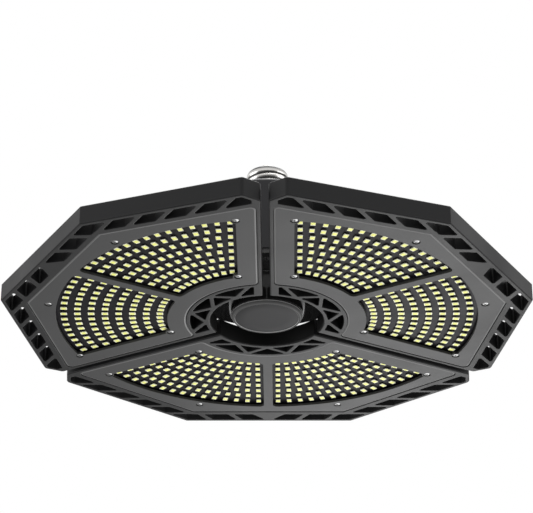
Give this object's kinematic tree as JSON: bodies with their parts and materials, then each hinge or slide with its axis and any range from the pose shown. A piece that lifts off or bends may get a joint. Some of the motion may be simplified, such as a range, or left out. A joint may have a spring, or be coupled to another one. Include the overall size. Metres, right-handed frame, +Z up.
{
  "type": "led garage light",
  "caption": "Screw-in ceiling light with a round driver housing and hinged LED panels that form a flat polygonal disc and fold up one by one.",
  "frame": {"origin": "lamp axis at the lower edge of the metal screw shell, where it meets the collar", "axes": "+Z up along the screw base, +Y along the far panel's middle, away from the gap that faces the picture's viewer"},
  "size_m": [0.3052, 0.2961, 0.104],
  "materials": {
    "nickel_shell": "polished",
    "black_insulator": "gloss",
    "contact_metal": "satin",
    "black_collar": "satin",
    "lead_insulation": "satin",
    "housing_coat": "satin",
    "gloss_black": "gloss",
    "grey_disc": "matte",
    "screw_steel": "polished",
    "driver_board_mask": "satin",
    "transformer_tape": "satin",
    "capacitor_sleeve": "gloss",
    "choke_winding": "gloss",
    "frame_coat": "satin",
    "led_board_mask": "satin",
    "led_phosphor": "satin",
    "grey_plate": "satin",
    "hinge_coat": "satin",
    "bolt_steel": "gloss",
    "cable_rubber": "satin",
    "grommet_rubber": "matte",
    "gland_plastic": "satin"
  },
  "bodies": {
    "driver": {"screw_shell": "nickel_shell", "base_insulator": "black_insulator", "centre_contact": "contact_metal", "base_collar": "black_collar", "collar_nut": "black_collar", "supply_leads": "lead_insulation", "driver_housing": "housing_coat", "bottom_cap": "gloss_black", "hub_cover": "grey_disc", "bottom_cap_screws": "bolt_steel", "driver_board": "driver_board_mask", "board_screws": "screw_steel", "driver_transformer": "transformer_tape", "driver_capacitors": "capacitor_sleeve", "driver_choke": "choke_winding", "far_hinge_bracket": "hinge_coat", "far_bracket_screws": "screw_steel", "far_hinge_bolt": "bolt_steel", "far_hinge_nut": "bolt_steel", "far_panel_cable": "cable_rubber", "far_housing_grommet": "grommet_rubber", "left_hinge_bracket": "hinge_coat", "left_bracket_screws": "screw_steel", "left_hinge_bolt": "bolt_steel", "left_hinge_nut": "bolt_steel", "left_panel_cable": "cable_rubber", "left_housing_grommet": "grommet_rubber", "right_hinge_bracket": "hinge_coat", "right_bracket_screws": "screw_steel", "right_hinge_bolt": "bolt_steel", "right_hinge_nut": "bolt_steel", "right_panel_cable": "cable_rubber", "right_housing_grommet": "grommet_rubber"},
    "far_panel": {"far_panel_frame": "frame_coat", "far_led_board": "led_board_mask", "far_led_chips": "led_phosphor", "far_cover_plate": "grey_plate", "far_cover_screws": "screw_steel", "far_hinge_knuckle": "hinge_coat", "far_knuckle_screws": "screw_steel", "far_panel_gland": "gland_plastic"},
    "left_panel": {"left_panel_frame": "frame_coat", "left_led_board": "led_board_mask", "left_led_chips": "led_phosphor", "left_cover_plate": "grey_plate", "left_cover_screws": "screw_steel", "left_hinge_knuckle": "hinge_coat", "left_knuckle_screws": "screw_steel", "left_panel_gland": "gland_plastic"},
    "right_panel": {"right_panel_frame": "frame_coat", "right_led_board": "led_board_mask", "right_led_chips": "led_phosphor", "right_cover_plate": "grey_plate", "right_cover_screws": "screw_steel", "right_hinge_knuckle": "hinge_coat", "right_knuckle_screws": "screw_steel", "right_panel_gland": "gland_plastic"}
  },
  "joints": [
    {"name": "far_fold", "type": "hinge", "parent": "driver", "child": "far_panel", "pos_m": [0, 0.0589, -0.0497], "axis": [1, 0, 0], "range_deg": [0, 90], "deforming": ["far_panel_cable"]},
    {"name": "left_fold", "type": "hinge", "parent": "driver", "child": "left_panel", "pos_m": [-0.05101, -0.02945, -0.0497], "axis": [-0.5, 0.866, 0], "range_deg": [0, 90], "deforming": ["left_panel_cable"]},
    {"name": "right_fold", "type": "hinge", "parent": "driver", "child": "right_panel", "pos_m": [0.05101, -0.02945, -0.0497], "axis": [-0.5, -0.866, 0], "range_deg": [0, 90], "deforming": ["right_panel_cable"]}
  ]
}
